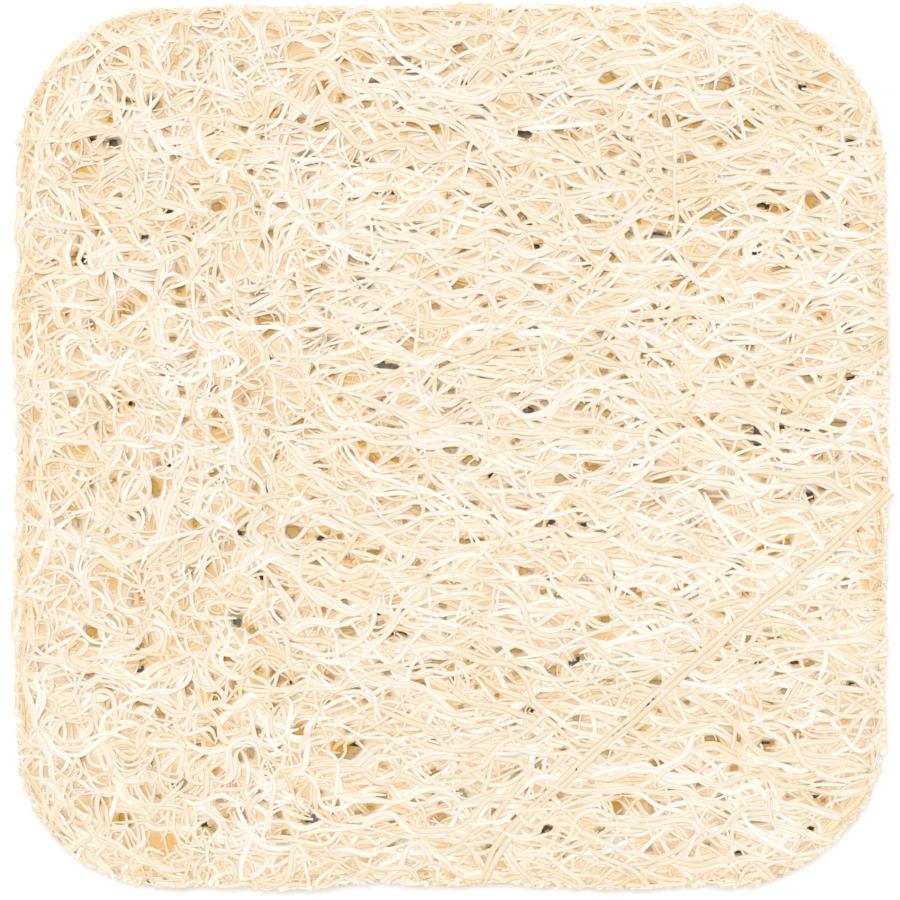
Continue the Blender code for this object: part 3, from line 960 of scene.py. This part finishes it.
def web_piece(context, name, sources, drop, openness, pitch):
    """Makes a piece of the skin between the fibres of the nets that are named."""
    missing = [source for source in sources if source not in GROWN]
    if missing:
        raise RuntimeError(f"{name} needs {missing}, which aren't grown yet")
    bundles = [GROWN[source] for source in sources]
    mesh = web_mesh(name, bundles, pad_numbers(context), drop, openness, pitch)
    add_piece(context, name, mesh, SKIN_THICKNESS * MM)


class PadSettings(PropertyGroup):
    """The pad's outside"""

    width: FloatProperty(
        name="Width", description="Size along X", unit="LENGTH", precision=4,
        default=NODE_HIGH[0] - NODE_LOW[0],
    )
    length: FloatProperty(
        name="Length", description="Size along Y", unit="LENGTH", precision=4,
        default=NODE_HIGH[1] - NODE_LOW[1],
    )
    thickness: FloatProperty(
        name="Thickness", description="Pressed thickness", unit="LENGTH", precision=4,
        default=NODE_HIGH[2] - NODE_LOW[2],
    )
    corner_radii: FloatVectorProperty(
        name="Corners", description="Corner radii: upper left, upper right, lower right, lower left", size=4,
        default=(0.0144, 0.0151, 0.0145, 0.0133), unit="LENGTH", precision=4,
    )
    edge_wobble: FloatProperty(
        name="Edge wobble", description="How far the cut edge strays", unit="LENGTH", precision=5,
        default=0.00016,
    )


class FibreSettings(PropertyGroup):
    """The fibres and their finish"""

    width: FloatProperty(
        name="Width", description="Width of a common fibre", default=0.00049, unit="LENGTH", precision=5
    )
    thin_width: FloatProperty(
        name="Thin width", description="Width of a thin fibre", default=0.00032, unit="LENGTH", precision=5
    )
    spacing: FloatProperty(
        name="Spacing", description="Mean distance between the fibres of a net", unit="LENGTH", precision=5,
        default=0.00125,
    )
    cream: FloatVectorProperty(
        name="Cream", description="Colour of the outer fibres", subtype="COLOR", default=(0.96, 0.85, 0.69)
    )
    # Painted shade: tan is painted a little way under the outer surface, where shade begins among the fibres.
    tan: FloatVectorProperty(
        name="Tan", description="Colour a little way in", subtype="COLOR", default=(0.95, 0.76, 0.51)
    )
    # Painted shade: brown is painted in the pits between the fibres, in place of their shade.
    brown: FloatVectorProperty(
        name="Brown", description="Colour in the pits", subtype="COLOR", default=(0.80, 0.48, 0.10)
    )
    # Painted shade: deep brown is painted deep in the pad, in place of the shade there.
    deep: FloatVectorProperty(
        name="Deep brown", description="Colour deep in the pad", subtype="COLOR", default=(0.50, 0.28, 0.08)
    )
    # Depth at which the painted shade reaches its deep brown.
    shade_fade_depth: FloatProperty(
        name="Fade depth", description="Depth at which the colour is deep brown", unit="LENGTH", precision=4,
        default=0.003,
    )
    roughness: FloatProperty(
        name="Roughness", description="Roughness of dry fibre", default=0.72, subtype="FACTOR"
    )
    # Painted shade: how dark a fibre is painted along its two sides, in place of the contact shadow between
    # fibres.
    edge_shade: FloatProperty(
        name="Edge shade", description="Brightness along the two sides of a fibre", subtype="FACTOR",
        default=0.90,
    )


class StageSettings(PropertyGroup):
    """Floor, light and camera"""

    floor_colour: FloatVectorProperty(
        name="Floor", description="Colour of the floor", subtype="COLOR", default=(0.95, 0.95, 0.95)
    )
    light: FloatProperty(name="Light", description="Strength of the main light, from above", default=2.26)
    light_angle: FloatProperty(
        name="Light size", description="How wide the main light looks from the pad", subtype="ANGLE",
        default=0.22,
    )
    sky: FloatProperty(
        name="Sky", description="Strength of the light from above, where the horizon has 1", default=0.30
    )
    camera_height: FloatProperty(
        name="Camera height", description="Height above the pad's upper face", default=0.8, unit="LENGTH"
    )
    view_width: FloatProperty(
        name="View", description="Width of the picture at the upper face", unit="LENGTH", precision=5,
        default=0.08257,
    )


class LOOFAH_OT_upper_net(Operator):
    """Grows the net that forms the upper face"""

    bl_idname = "loofah.upper_net"
    bl_label = "Upper net"

    def execute(self, context):
        net_piece(context, "first_net", (0,), 1.4, 0.44)
        return {"FINISHED"}


class LOOFAH_OT_long_strands(Operator):
    """Lays the long strands and loops that stand out on the upper face"""

    bl_idname = "loofah.long_strands"
    bl_label = "Long strands"

    def execute(self, context):
        bundle = Bundle(1.2, 0.28)
        lay_long_strands(bundle, context)
        fibre_piece(context, "long_strands", bundle)
        return {"FINISHED"}


class LOOFAH_OT_inner_nets(Operator):
    """Grows the nets between the two faces"""

    bl_idname = "loofah.inner_nets"
    bl_label = "Inner nets"

    def execute(self, context):
        net_piece(context, "second_net", (1,), 1.5, 0.50)
        net_piece(context, "third_net", (2,), 1.6, 0.62)
        net_piece(context, "fourth_net", (3,), 1.9, 0.70)
        net_piece(context, "middle_nets", (4, 5), 2.4, 0.90)
        return {"FINISHED"}


class LOOFAH_OT_webs(Operator):
    """Hangs thin skins between the fibres of the nets"""

    bl_idname = "loofah.webs"
    bl_label = "Webs"

    def execute(self, context):
        web_piece(context, "upper_web", ("second_net", "third_net"), 0.20, 0.055, 0.37)
        web_piece(context, "fourth_web", ("fourth_net",), 0.16, 0.0, 0.72)
        web_piece(context, "lower_web", ("lower_nets",), -0.32, 0.04, 0.74)
        return {"FINISHED"}


class LOOFAH_OT_lower_nets(Operator):
    """Grows the nets that form the underside"""

    bl_idname = "loofah.lower_nets"
    bl_label = "Lower nets"

    def execute(self, context):
        net_piece(context, "lower_nets", (6, 7), 2.2, 0.78)
        return {"FINISHED"}


class LOOFAH_OT_rim_net(Operator):
    """Grows the net round the rim"""

    bl_idname = "loofah.rim_net"
    bl_label = "Rim net"

    def execute(self, context):
        bundle = Bundle(1.8, 0.60, upright=True)
        for layer in range(2):
            lay_rim(bundle, context, layer)
        fibre_piece(context, "rim_net", bundle)
        mesh = rim_web_mesh("rim_web", pad_numbers(context), 1.55, 0.80)
        add_piece(context, "rim_web", mesh, SKIN_THICKNESS * MM)
        return {"FINISHED"}


class LOOFAH_OT_stage(Operator):
    """Sets up the floor, the light and the camera"""

    bl_idname = "loofah.stage"
    bl_label = "Stage"

    def execute(self, context):
        settings = context.scene.loofah_stage
        bpy.ops.object.select_all(action="DESELECT")
        bpy.ops.mesh.primitive_plane_add(size=4.0, location=(0, 0, NODE_LOW[2] - FLOOR_GAP))
        floor = context.object
        floor.name = "floor"
        paint = bpy.data.materials.new("floor_paint")
        paint.use_nodes = True
        shader = paint.node_tree.nodes["Principled BSDF"]
        shader.inputs["Base Color"].default_value = (*settings.floor_colour, 1)
        shader.inputs["Roughness"].default_value = 0.9
        floor.data.materials.append(paint)

        world = context.scene.world or bpy.data.worlds.new("sky")
        context.scene.world = world
        world.use_nodes = True
        background = next(n for n in world.node_tree.nodes if n.type == "BACKGROUND")
        background.inputs["Color"].default_value = (1, 1, 1, 1)
        way = world.node_tree.nodes.new("ShaderNodeTexCoord")
        height = world.node_tree.nodes.new("ShaderNodeSeparateXYZ")
        fall = world.node_tree.nodes.new("ShaderNodeMapRange")
        fall.interpolation_type = "SMOOTHSTEP"
        for socket, value in zip(RANGE_SOCKETS, (0.08, 0.60, 0.97, settings.sky)):
            fall.inputs[socket].default_value = value
        world.node_tree.links.new(way.outputs["Generated"], height.inputs[0])
        world.node_tree.links.new(height.outputs["Z"], fall.inputs["Value"])
        world.node_tree.links.new(fall.outputs["Result"], background.inputs["Strength"])

        place = Vector((-0.02, 0.07, 1.50))
        bpy.ops.object.light_add(type="SUN", location=place)
        lamp = context.object
        lamp.name = "main_light"
        lamp.data.angle = settings.light_angle
        lamp.data.energy = settings.light
        lamp.rotation_euler = (-place).to_track_quat("-Z", "Y").to_euler()

        bpy.ops.object.camera_add()
        camera = context.object
        camera.name = "camera"
        camera.location = (-0.00009, -0.00037, NODE_HIGH[2] + settings.camera_height)
        camera.rotation_euler = (0, 0, 0)
        camera.data.sensor_width = 36.0
        camera.data.lens = 36.0 * settings.camera_height / settings.view_width
        camera.data.clip_start, camera.data.clip_end = 0.01, 20.0
        context.scene.camera = camera
        context.scene.view_settings.view_transform = "Standard"
        return {"FINISHED"}


class LOOFAH_PT_panel(Panel):
    """Lists the pad's settings and pieces"""

    bl_label = "Loofah"
    bl_idname = "LOOFAH_PT_panel"
    bl_space_type = "VIEW_3D"
    bl_region_type = "UI"
    bl_category = "Loofah"

    def draw(self, context):
        for settings in (context.scene.loofah_pad, context.scene.loofah_fibres, context.scene.loofah_stage):
            box = self.layout.box()
            for name in settings.__annotations__:
                box.prop(settings, name)
        for operator in OPERATORS:
            self.layout.operator(operator.bl_idname)


SETTINGS = {"loofah_pad": PadSettings, "loofah_fibres": FibreSettings, "loofah_stage": StageSettings}
OPERATORS = (
    LOOFAH_OT_stage,
    LOOFAH_OT_upper_net,
    LOOFAH_OT_long_strands,
    LOOFAH_OT_inner_nets,
    LOOFAH_OT_lower_nets,
    LOOFAH_OT_webs,
    LOOFAH_OT_rim_net,
)


def register():
    for settings in (*SETTINGS.values(), *OPERATORS, LOOFAH_PT_panel):
        bpy.utils.register_class(settings)
    for name, settings in SETTINGS.items():
        setattr(bpy.types.Scene, name, PointerProperty(type=settings))


def unregister():
    for name in SETTINGS:
        delattr(bpy.types.Scene, name)
    for settings in (LOOFAH_PT_panel, *OPERATORS[::-1], *SETTINGS.values()):
        bpy.utils.unregister_class(settings)


def main():
    register()
    bpy.ops.loofah.stage()
    bpy.ops.loofah.upper_net()
    bpy.ops.loofah.long_strands()
    bpy.ops.loofah.inner_nets()
    bpy.ops.loofah.lower_nets()
    bpy.ops.loofah.webs()
    bpy.ops.loofah.rim_net()


if __name__ == "__main__":
    main()
